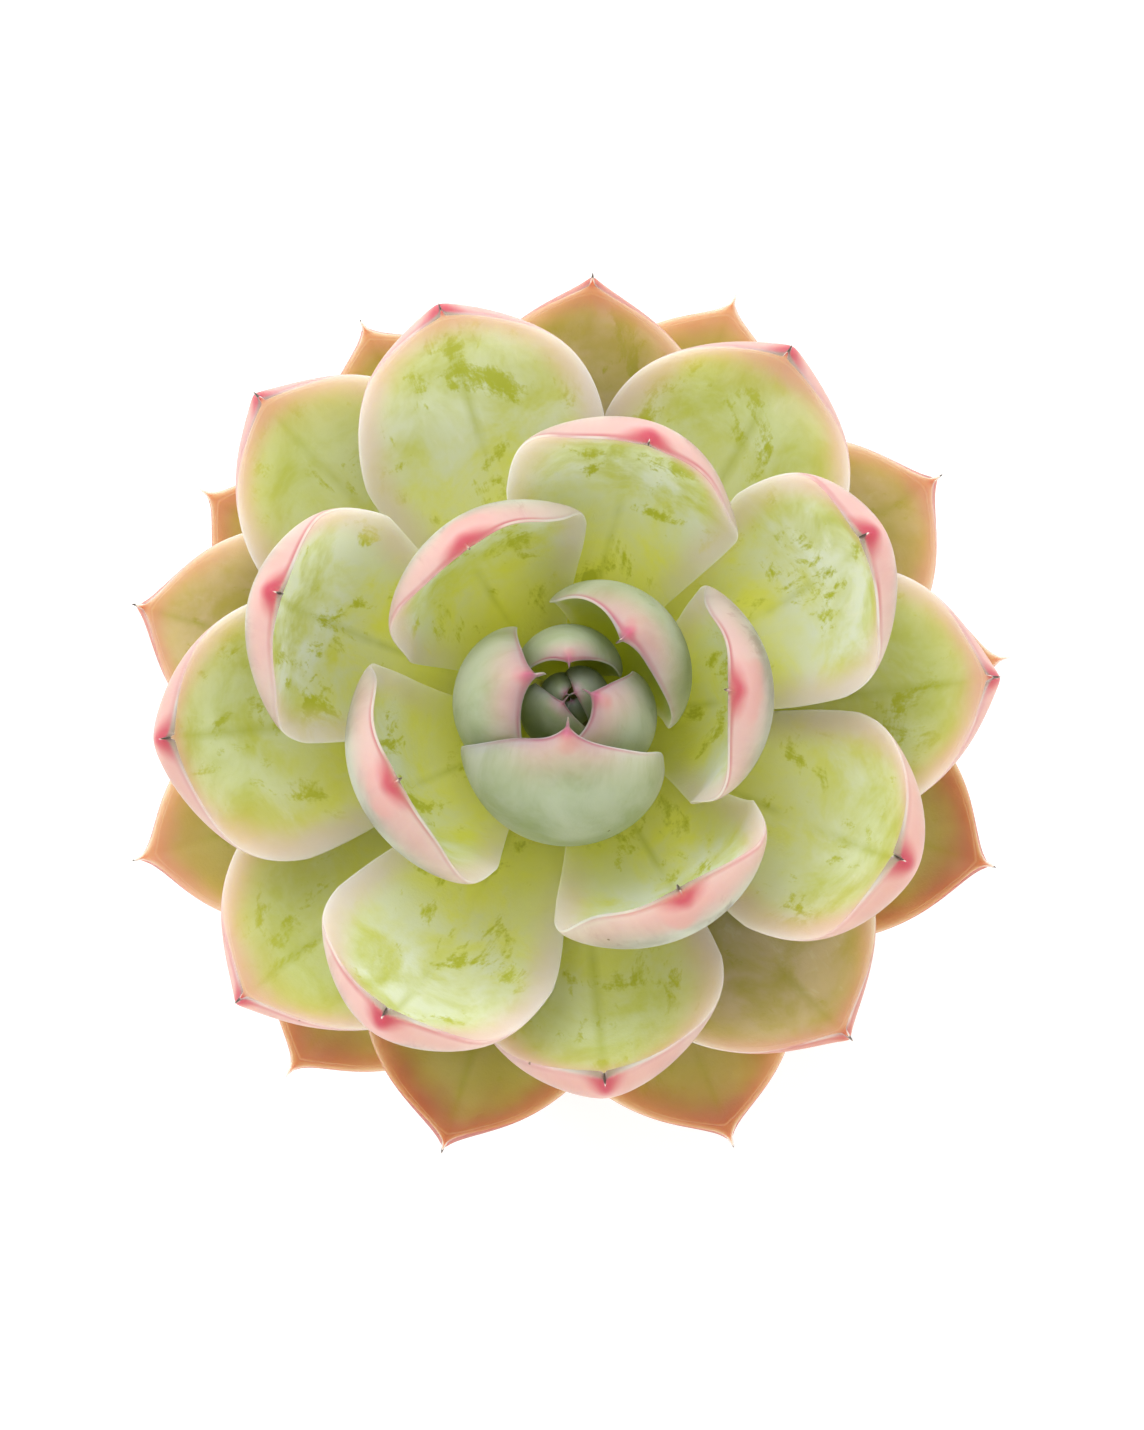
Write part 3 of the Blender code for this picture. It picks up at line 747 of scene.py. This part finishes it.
def add_bump(tree, shader, height, distance, strength=0.6):
    """A Bump node between a height and the shader's normal."""
    bump = tree.nodes.new("ShaderNodeBump")
    bump.inputs["Strength"].default_value = strength
    bump.inputs["Distance"].default_value = distance
    tree.links.new(height, bump.inputs["Height"])
    tree.links.new(bump.outputs["Normal"], shader.inputs["Normal"])


def attribute(tree, name, output="Fac"):
    """A named value from the mesh's points."""
    node = tree.nodes.new("ShaderNodeAttribute")
    node.attribute_name = name
    return node.outputs[output]


def leaf_material(name, column):
    """One leaf finish: the layers with this column of the tables, and flesh that scatters light."""
    material, tree, shader = new_material(name)
    layers = tree.nodes.new("ShaderNodeGroup")
    layers.node_tree = LAYERS
    tree.links.new(object_place(tree), layers.inputs["Place"])
    tree.links.new(attribute(tree, "flat", "Vector"), layers.inputs["Flat"])
    for value in LEAF_VALUES:
        tree.links.new(attribute(tree, value), layers.inputs[value])
    for label, given in {**COLOURS, **AMOUNTS}.items():
        put(tree, layers.inputs[label], given[column])
    tree.links.new(layers.outputs["Colour"], shader.inputs["Base Color"])
    tree.links.new(layers.outputs["Roughness"], shader.inputs["Roughness"])
    add_bump(tree, shader, layers.outputs["Height"], 0.0004)
    shader.inputs["Subsurface Weight"].default_value = 1.0
    shader.inputs["Subsurface Radius"].default_value = FLESH_SCATTER_COLOURS
    shader.inputs["Subsurface Scale"].default_value = FLESH_SCATTER_LENGTH
    shader.inputs["Specular IOR Level"].default_value = 0.4
    return material


LEAF_FINISHES = {name: leaf_material(name, column) for column, name in enumerate(FINISH_NAMES)}
print("leaf finishes:", ", ".join(LEAF_FINISHES))


# %% [markdown]
# ## Growing the leaves
#
# Rings stand closer together toward the end, where the blade closes. The values for the finishes are
# worked out on the same grid. The distance from the margin joins two distances, across to the side
# and along to the end, as their product over the root of their summed squares. Three values depend
# on a leaf's age alone: tan says how far the sun has flushed it, and on outer leaves that lie in
# shadow it is raised as painted shade; wax says how thick its bloom still is, and is also set higher
# on the inner leaves and lower on the outer ring as painted light and shade; and rose says how
# strongly its margin line and its patch below are coloured.

# %% One leaf
RINGS = 84
SIDES = 96
SPIKE_RINGS = 10
CROWD_TO_END = 1.45
NARROWING = 3.5
FIRST_OUTER_AGE = 25
# Tan by age: a real salmon flush on old leaves, and painted shade: leaves 29, 31 and 34, which lie in
# shadow, get the most.
TAN_AND_SHADE_BY_AGE = (
    (0, 0.0), (16, 0.0), (18, 0.22), (24, 0.3), (25, 0.15), (27, 0.15), (28, 0.3), (29, 0.9),
    (30, 0.5), (31, 0.9), (32, 0.45), (33, 0.45), (34, 1.0), (35, 0.6), (37, 0.8),
)
# Wax by age: how thick the bloom is, and also painted light and shade by depth: more on the inner
# leaves, less on the outer ring.
WAX_AND_SHADE_BY_AGE = (
    (0, 1.0), (8, 1.0), (10, 1.2), (14, 1.35), (17, 0.95), (21, 0.6), (24, 0.5), (25, 1.0), (27, 1.1),
    (28, 0.8), (29, 0.2), (37, 0.3),
)
ROSE_BY_AGE = ((0, 1.0), (8, 1.0), (9, 0.85), (16, 0.8), (17, 0.3), (22, 0.25), (25, 0.5), (37, 0.8))


def leaf_stations(form):
    """Shares along the leaf: one less a power of what is left, then a few more for the dry point."""
    blade = 1.0 - (1.0 - np.linspace(0.0, 1.0, RINGS)) ** CROWD_TO_END
    past = np.linspace(0.0, 1.0, SPIKE_RINGS + 1)[1:-1] * LEAF_SPIKE / form["length"]
    return np.concatenate([blade[:-1], 1.0 + past])


def leaf_values(form, along, around):
    """The finish's values on the grid. Distances are in millimetres.

    On a small young leaf every band is narrower, so its distances are counted up by a power of how
    much shorter it is than half a grown leaf.
    """
    across = np.cos(around)
    width = drawn_in_width(form, np.minimum(along, 1.0)) * 1000
    to_side = (1.0 - np.abs(across)) * width + 0.0001
    to_end = np.maximum(1.0 - along, 0.0) * form["length"] * 1000 + 0.0001
    into_spike = (along - 1.0) * form["length"] + SPIKE_ROOT
    small = max(1.0, 0.5 * LEAF_LENGTH / form["length"]) ** NARROWING
    # The tan value is partly painted shade for outer leaves in shadow.
    tan_and_shade = by_age(TAN_AND_SHADE_BY_AGE, form["age"]) * (0.8 + 0.4 * own_number(form["age"], 2))
    return {
        "edge": small * to_side * to_end / np.hypot(to_side, to_end),
        "tip": small * np.hypot(across * width, to_end),
        "reach": np.minimum(along, 1.0),
        "under": 1.0 - ease((np.sin(around) + 0.12) / 0.24),
        "middle": np.exp(-((across * width / 0.5) ** 2)) * (np.sin(around) > 0),
        "spike": np.clip(into_spike / (SPIKE_ROOT + LEAF_SPIKE), 0.0, 1.0) * min(1.0, form["age"] / 6),
        "flat": np.stack([across * width / 1000, along * form["length"], along * 0 + form["age"]], -1),
        "tan_and_shade": np.full(along.shape, tan_and_shade),
        # The wax value is partly painted light and shade by depth, from the table above.
        "wax": np.full(along.shape, by_age(WAX_AND_SHADE_BY_AGE, form["age"])),
        "rose": np.full(along.shape, by_age(ROSE_BY_AGE, form["age"])),
    }


def held_inside(points, form):
    """Shrink a leaf about its foot by the least share that keeps it inside the plant's box.

    For each face of the box the share is the face's distance from the foot over the leaf's reach
    toward that face, and the smallest share counts. A face that the leaf points away from gives a
    share below zero, which is left out.
    """
    foot = np.array([0.0, 0.0, form["height"]])
    low, high = (np.array(corner) for corner in cad_box)
    flat = points.reshape(-1, 3)
    shares = [*((high - foot) / (flat.max(0) - foot)), *((low - foot)[:2] / (flat.min(0) - foot)[:2])]
    share = min([1.0, *(value for value in shares if value > 0.5)])
    return foot + (points - foot) * share


def grow_leaf(age, node):
    """One leaf as a closed surface that stands for its CAD solid."""
    form = leaf_form(age)
    angles = np.linspace(0.0, 2 * math.pi, SIDES, endpoint=False)
    along, around = np.meshgrid(leaf_stations(form), angles, indexing="ij")
    points = blade_points(form, along, around)
    end = np.array([1.0 + LEAF_SPIKE / form["length"]])
    tip = np.broadcast_to(blade_points(form, end, np.zeros(1)), (1, SIDES, 3))
    points = held_inside(np.concatenate([points, tip]), form)
    points, tip = points[:-1], points[-1, 0]
    mesh = closed_tube(node, points, points[0].mean(0), tip, leaf_values(form, along, around))
    slot = "leaf_heart" if age <= HEART_AGE else "leaf_ring" if age < FIRST_OUTER_AGE else "leaf_outer"
    return add_piece(f"{node}_blade", mesh, LEAF_FINISHES[slot], node)


leaves = [grow_leaf(age, node) for age, node in enumerate(LEAF_NODES)]
print("leaves grown:", len(leaves), "with", sum(len(leaf.data.polygons) for leaf in leaves), "faces")

# %% [markdown]
# ## Stem, soil and pot
#
# The stem is a short trunk with rings of leaf scars. The soil is a rough mound with mineral grit in
# it. The pot is thrown clay: a profile turned round the axis, with faint turning marks and paler
# bloom near its foot, and drain holes through the floor.


# %% Turned surfaces
def turned_surface(name, profile, sides, wobble=None):
    """A closed surface from (radius, height) rows whose ends lie on the axis.

    Each row goes round as its radius times the bearing's cosine and sine. The wobble, if there is
    one, changes radius and height by the bearing first.
    """
    profile = np.array(profile)
    bearing = np.linspace(0.0, 2 * math.pi, sides, endpoint=False)
    radius = np.repeat(profile[1:-1, :1], sides, 1)
    height = np.repeat(profile[1:-1, 1:], sides, 1)
    bearing = np.repeat(bearing[None], len(radius), 0)
    if wobble:
        radius, height = wobble(radius, height, bearing)
    points = np.stack([radius * np.cos(bearing), radius * np.sin(bearing), height], -1)
    first = (0.0, 0.0, profile[0, 1])
    last = (0.0, 0.0, profile[-1, 1])
    return closed_tube(name, points, first, last)


def smooth_profile(corners, step):
    """Extra points along each side of a profile, no further apart than the step."""
    rows = []
    for (r0, z0), (r1, z1) in zip(corners, corners[1:], strict=False):
        pieces = max(1, round(math.hypot(r1 - r0, z1 - z0) / step))
        for part in range(pieces):
            rows.append((r0 + (r1 - r0) * part / pieces, z0 + (z1 - z0) * part / pieces))
    return [*rows, corners[-1]]


print("turned_surface and smooth_profile ready")

# %% [markdown]
# The stem's finish is green-brown with darker scars, from a noise that is stretched round the stem.
# Its tip narrows under each heart leaf's foot in turn, so that no leaf stands on air.


# %% The stem
def bark_material():
    """Green-brown skin with broken darker rings."""
    material, tree, shader = new_material("stem_skin")
    place = object_place(tree, (1.0, 1.0, 4.0))
    rings = noise(tree, place, 180.0, 5.0, 0.6, 0.5)
    fine = noise(tree, place, 900.0, 3.0, 0.6)
    colour = blend(tree, spread(tree, rings, 0.35, 0.65), (0.20, 0.15, 0.07), (0.38, 0.36, 0.18))
    put(tree, shader.inputs["Base Color"], colour)
    put(tree, shader.inputs["Roughness"], spread(tree, fine, 0.2, 0.8, 0.6, 0.85))
    add_bump(tree, shader, plus(tree, rings, times(tree, fine, 0.3)), 0.0006)
    return material


SCAR_SPACING = 0.0022
SCAR_DEPTH = 0.035
TIP_SHARE = 0.88
TIP_BELOW_FEET = 0.0009


def grow_stem():
    """The trunk, with a sine's low rings for the scars of shed leaves, and a tip that narrows."""
    trunk = STEM_RADIUS * 0.98
    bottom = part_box("stem")[0].z
    corners = [(0.0, bottom), (trunk, bottom), (trunk, foot_height(HEART_AGE) - 0.0012)]
    for age in range(HEART_AGE, -1, -1):
        corners.append((leaf_form(age)["seat"] * TIP_SHARE, foot_height(age) - TIP_BELOW_FEET))
    corners.append((0.0, foot_height(0) - 0.0002))

    def scars(radius, height, bearing):
        """The radius, a little less, with a sine's rings up the stem and waves worn round it."""
        ringed = SCAR_DEPTH * np.sin(height * 2 * math.pi / SCAR_SPACING + np.sin(bearing * 2) * 1.5)
        worn = 0.02 * np.sin(bearing * 5 + height * 900)
        return radius * (1.0 - 0.055 + ringed + worn), height

    mesh = turned_surface("stem", smooth_profile(corners, 0.0005), 64, scars)
    return add_piece("stem_trunk", mesh, bark_material(), "stem")


stem = grow_stem()
print("stem grown,", len(stem.data.polygons), "faces")

# %% [markdown]
# Soil is never one colour. Peat is nearly black-brown, and the grit in it is grey, tan and white. The
# mound is a turned surface pushed about by sums of sines, and the grit is one mesh of small faceted
# stones, each a squashed octahedron with its corners moved a little.


# %% The soil
def soil_material(name, dark, light, scale):
    """Mixed crumbs: a cell pattern picks between dark and light."""
    material, tree, shader = new_material(name)
    place = object_place(tree)
    distance, chance = cells(tree, place, scale)
    fine = noise(tree, place, 1400.0, 4.0, 0.6)
    colour = blend(tree, spread(tree, chance, 0.3, 0.95), dark, light)
    colour = blend(tree, times(tree, fine, 0.4), colour, dark)
    put(tree, shader.inputs["Base Color"], colour)
    put(tree, shader.inputs["Roughness"], spread(tree, fine, 0.2, 0.8, 0.8, 0.98))
    height = plus(tree, times(tree, distance, -0.8), fine)
    add_bump(tree, shader, height, 0.0008)
    return material


SOIL_TAPER = 0.0113
LUMP_HEIGHT = 0.0003


def heap_soil():
    """The soil mound: a sum of three crossed sines roughens its top, and its sides follow the pot."""
    low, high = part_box("potting_soil")
    inner = high.x
    corners = [
        (0.0, low.z),
        (inner - SOIL_TAPER, low.z),
        (inner - 0.0006, SOIL_HEIGHT - 0.003),
        (inner * 0.92, SOIL_HEIGHT - 0.0008),
        (inner * 0.5, SOIL_HEIGHT),
        (STEM_RADIUS * 1.4, SOIL_HEIGHT + 0.0008),
        (0.0, SOIL_HEIGHT + 0.0008),
    ]

    def rough(radius, height, bearing):
        """The height, lifted on the mound's top by crossed sines of x and y."""
        x, y = radius * np.cos(bearing), radius * np.sin(bearing)
        lumps = np.sin(x * 900 + 2 * np.sin(y * 500)) + np.sin(y * 1100 + 2 * np.sin(x * 700))
        lumps = lumps + 0.6 * np.sin(x * 2300 + 1.0) * np.sin(y * 2100)
        top = ease((height - SOIL_HEIGHT + 0.003) / 0.003)
        return radius, height + LUMP_HEIGHT * lumps * top

    mesh = turned_surface("soil", smooth_profile(corners, 0.0007), 160, rough)
    finish = soil_material("soil_peat", (0.035, 0.024, 0.017), (0.11, 0.08, 0.055), 900.0)
    return add_piece("soil_mound", mesh, finish, "potting_soil"), inner


def scatter_grit(inner, count=520):
    """Small stones on the soil: squashed octahedra of 6 corners, each turned and sized by chance."""
    chance = np.random.default_rng(7)
    corners = np.array(
        [(1, 0, 0), (-1, 0, 0), (0, 1, 0), (0, -1, 0), (0, 0, 1), (0, 0, -1)], float
    )
    faces = np.array(
        [(0, 2, 4), (2, 1, 4), (1, 3, 4), (3, 0, 4), (2, 0, 5), (1, 2, 5), (3, 1, 5), (0, 3, 5)]
    )
    bearing = chance.uniform(0, 2 * math.pi, count)
    radius = np.sqrt(chance.uniform((STEM_RADIUS + 0.002) ** 2, (inner - 0.003) ** 2, count))
    size = chance.uniform(0.0004, 0.0013, count)
    squash = chance.uniform(0.55, 1.0, (count, 1, 3))
    jitter = chance.uniform(0.75, 1.15, (count, 6, 1))
    spin = chance.uniform(0, 2 * math.pi, count)
    stones = corners[None] * jitter * squash * size[:, None, None]
    turned = stones.copy()
    turned[..., 0] = stones[..., 0] * np.cos(spin)[:, None] - stones[..., 1] * np.sin(spin)[:, None]
    turned[..., 1] = stones[..., 0] * np.sin(spin)[:, None] + stones[..., 1] * np.cos(spin)[:, None]
    turned[..., 0] += (radius * np.cos(bearing))[:, None]
    turned[..., 1] += (radius * np.sin(bearing))[:, None]
    turned[..., 2] += SOIL_HEIGHT + 0.0003
    every = (faces[None] + 6 * np.arange(count)[:, None, None]).reshape(-1, 3)
    mesh = bpy.data.meshes.new("grit")
    mesh.from_pydata(turned.reshape(-1, 3).tolist(), [], every.tolist())
    finish = soil_material("grit_stone", (0.10, 0.085, 0.07), (0.55, 0.50, 0.42), 420.0)
    return add_piece("soil_grit", mesh, finish, None)


soil, soil_radius = heap_soil()
grit = scatter_grit(soil_radius)
print("faces in the soil and the grit:", len(soil.data.polygons), len(grit.data.polygons))

# %% [markdown]
# The pot's profile repeats the CAD solid's, with each edge rolled over in a smooth curve. Drain
# holes are cut with a Boolean, and the result is made a plain mesh, so that no cutter is left behind.


# %% The pot
def clay_material():
    """Fired clay: broad warm and pale clouds, lime bloom low down, turning marks and fine grain."""
    material, tree, shader = new_material("clay_fired")
    place = object_place(tree)
    marks_place = object_place(tree, (0.15, 0.15, 1.0))
    clouds = noise(tree, place, 28.0, 4.0, 0.55, 0.4)
    grain = noise(tree, place, 1300.0, 4.0, 0.65)
    marks = noise(tree, marks_place, 700.0, 2.0, 0.5)
    apart = tree.nodes.new("ShaderNodeSeparateXYZ")
    tree.links.new(place, apart.inputs[0])
    colour = blend(tree, spread(tree, clouds, 0.3, 0.7), (0.46, 0.20, 0.115), (0.56, 0.28, 0.17))
    lime = times(tree, spread(tree, apart.outputs[2], 0.045, 0.0), spread(tree, clouds, 0.42, 0.68))
    colour = blend(tree, times(tree, lime, 0.55), colour, (0.70, 0.60, 0.50))
    colour = blend(tree, times(tree, grain, 0.18), colour, (0.30, 0.13, 0.08))
    put(tree, shader.inputs["Base Color"], colour)
    put(tree, shader.inputs["Roughness"], spread(tree, grain, 0.2, 0.8, 0.78, 0.95))
    height = plus(tree, times(tree, marks, 0.8), times(tree, grain, 0.4))
    add_bump(tree, shader, height, 0.0004)
    return material


def rolled(corners, radius, steps=6):
    """A profile with each inner corner rolled over by a quadratic Bezier curve.

    It goes from the point a radius before the corner to the point a radius after it, and the corner
    pulls at it by two times the share t times one less t.
    """
    rows = [corners[0]]
    for before, corner, after in zip(corners, corners[1:], corners[2:], strict=False):
        before, corner, after = (np.array(point) for point in (before, corner, after))
        reach_in = min(radius, np.linalg.norm(before - corner) / 2)
        reach_out = min(radius, np.linalg.norm(after - corner) / 2)
        a = corner + (before - corner) / np.linalg.norm(before - corner) * reach_in
        b = corner + (after - corner) / np.linalg.norm(after - corner) * reach_out
        for t in np.linspace(0.0, 1.0, steps):
            rows.append(tuple((1 - t) ** 2 * a + 2 * t * (1 - t) * corner + t**2 * b))
    return [*rows, corners[-1]]


POT_BASE_RADIUS = 0.031
POT_SHOULDER_RADIUS = 0.0415
POT_COLLAR_HEIGHT = 0.018
POT_WALL = 0.005
POT_FLOOR = 0.005
POT_EDGE = 0.0018
DRAIN_COUNT = 3
DRAIN_RADIUS = 0.0035
DRAIN_PITCH_RADIUS = 0.0145


def pot_profile():
    """The pot's section, from the middle of the underside round to the middle of the floor."""
    collar = RIM_HEIGHT - POT_COLLAR_HEIGHT

    def outside(height):
        """The body's outside radius, which grows evenly from the base to the collar."""
        return POT_BASE_RADIUS + (POT_SHOULDER_RADIUS - POT_BASE_RADIUS) * height / collar

    corners = [
        (0.0, 0.0),
        (POT_BASE_RADIUS, 0.0),
        (outside(collar), collar),
        (RIM_RADIUS, collar),
        (RIM_RADIUS, RIM_HEIGHT),
        (outside(RIM_HEIGHT) - POT_WALL, RIM_HEIGHT),
        (outside(POT_FLOOR) - POT_WALL, POT_FLOOR),
        (0.0, POT_FLOOR),
    ]
    return rolled(corners, POT_EDGE)


def cut_drains(pot):
    """Cut the drain holes: pins through the floor, and a Boolean that is applied at once."""
    bearing = math.radians(90) + np.arange(DRAIN_COUNT) * 2 * math.pi / DRAIN_COUNT
    low, high = -0.004, POT_FLOOR + 0.004
    profile = [(0.0, low), (DRAIN_RADIUS, low), (DRAIN_RADIUS, high), (0.0, high)]
    for number, angle in enumerate(bearing):
        place = (DRAIN_PITCH_RADIUS * math.cos(angle), DRAIN_PITCH_RADIUS * math.sin(angle))
        pin = add_object(f"drain_pin_{number}", turned_surface("drain_pin", profile, 32))
        pin.location = (*place, 0.0)
        cut = pot.modifiers.new("drain", "BOOLEAN")
        cut.operation = "DIFFERENCE"
        cut.object = pin
    bpy.context.view_layer.update()
    done = bpy.data.meshes.new_from_object(pot.evaluated_get(bpy.context.evaluated_depsgraph_get()))
    pot.modifiers.clear()
    pot.data = done
    for pin in [thing for thing in bpy.data.objects if thing.name.startswith("drain_pin")]:
        bpy.data.objects.remove(pin, do_unlink=True)


def throw_pot():
    """Turn the pot, cut its drains and shade it smooth."""
    mesh = turned_surface("pot", smooth_profile(pot_profile(), 0.0035), 192)
    pot = add_piece("pot_body", mesh, clay_material(), "pot")
    cut_drains(pot)
    pot.data.shade_smooth()
    pot.data.set_sharp_from_angle(angle=math.radians(40))
    return pot


pot = throw_pot()
print("pot faces:", len(pot.data.polygons))

# %% [markdown]
# ## Floor, light and camera
#
# A white floor and soft light from all round, with one large lamp overhead to the back left, keep
# the shadows faint and let the flesh glow. The floor gives off a little light of its own, so that it
# stays white under the plant. The camera looks down nearly straight, from a little in front.

# %% Floor and light
FLOOR_HALF = 3.0
FLOOR_GLOW = 0.22
WORLD_STRENGTH = 1.06
LAMP_POWER = 8.0
floor_mesh = bpy.data.meshes.new("floor")
floor_corners = [(FLOOR_HALF * x, FLOOR_HALF * y, 0) for x, y in ((-1, -1), (1, -1), (1, 1), (-1, 1))]
floor_mesh.from_pydata(floor_corners, [], [(0, 1, 2, 3)])
floor_finish, _, floor_shader = new_material("floor_white")
floor_shader.inputs["Base Color"].default_value = (0.92, 0.92, 0.92, 1.0)
floor_shader.inputs["Roughness"].default_value = 0.9
floor_shader.inputs["Emission Color"].default_value = (1.0, 1.0, 1.0, 1.0)
floor_shader.inputs["Emission Strength"].default_value = FLOOR_GLOW
floor_mesh.materials.append(floor_finish)
floor = add_object("floor", floor_mesh)

world = bpy.data.worlds.new("studio")
bpy.context.scene.world = world
world.use_nodes = True
world.node_tree.nodes["Background"].inputs["Color"].default_value = (1.0, 1.0, 1.0, 1.0)
world.node_tree.nodes["Background"].inputs["Strength"].default_value = WORLD_STRENGTH


def add_lamp(name, place, aim, size, power):
    """A square area lamp at a place, turned to an aim."""
    lamp = bpy.data.lights.new(name, "AREA")
    lamp.size = size
    lamp.energy = power
    holder = add_object(name, lamp)
    holder.location = place
    holder.rotation_mode = "QUATERNION"
    holder.rotation_quaternion = (Vector(aim) - Vector(place)).to_track_quat("-Z", "Y")
    return holder


MIDDLE = (0.0, 0.0, ROSETTE_BASE + 0.02)
add_lamp("soft_top", (-0.35, 0.75, 1.0), MIDDLE, 0.9, LAMP_POWER)
bpy.context.scene.view_settings.view_transform = "Standard"
print("floor, world and lamp set")

# %% Camera
camera_data = bpy.data.cameras.new("camera")
camera_data.lens = 100.0
camera_data.sensor_width = 36.0
camera = add_object("camera", camera_data)
bpy.context.scene.camera = camera
ELEVATION = math.radians(85.0)
DISTANCE = 0.502
AIM = (0.00025, -0.0005, MIDDLE[2])
camera.location = (
    AIM[0],
    AIM[1] - DISTANCE * math.cos(ELEVATION),
    AIM[2] + DISTANCE * math.sin(ELEVATION),
)
camera.rotation_euler = (math.radians(90.0) - ELEVATION, 0.0, 0.0)
camera_data.clip_start = 0.01
print("camera at", [round(value, 3) for value in camera.location])

# %% Finish
print("cad ", [[round(v, 4) for v in corner] for corner in cad_box])
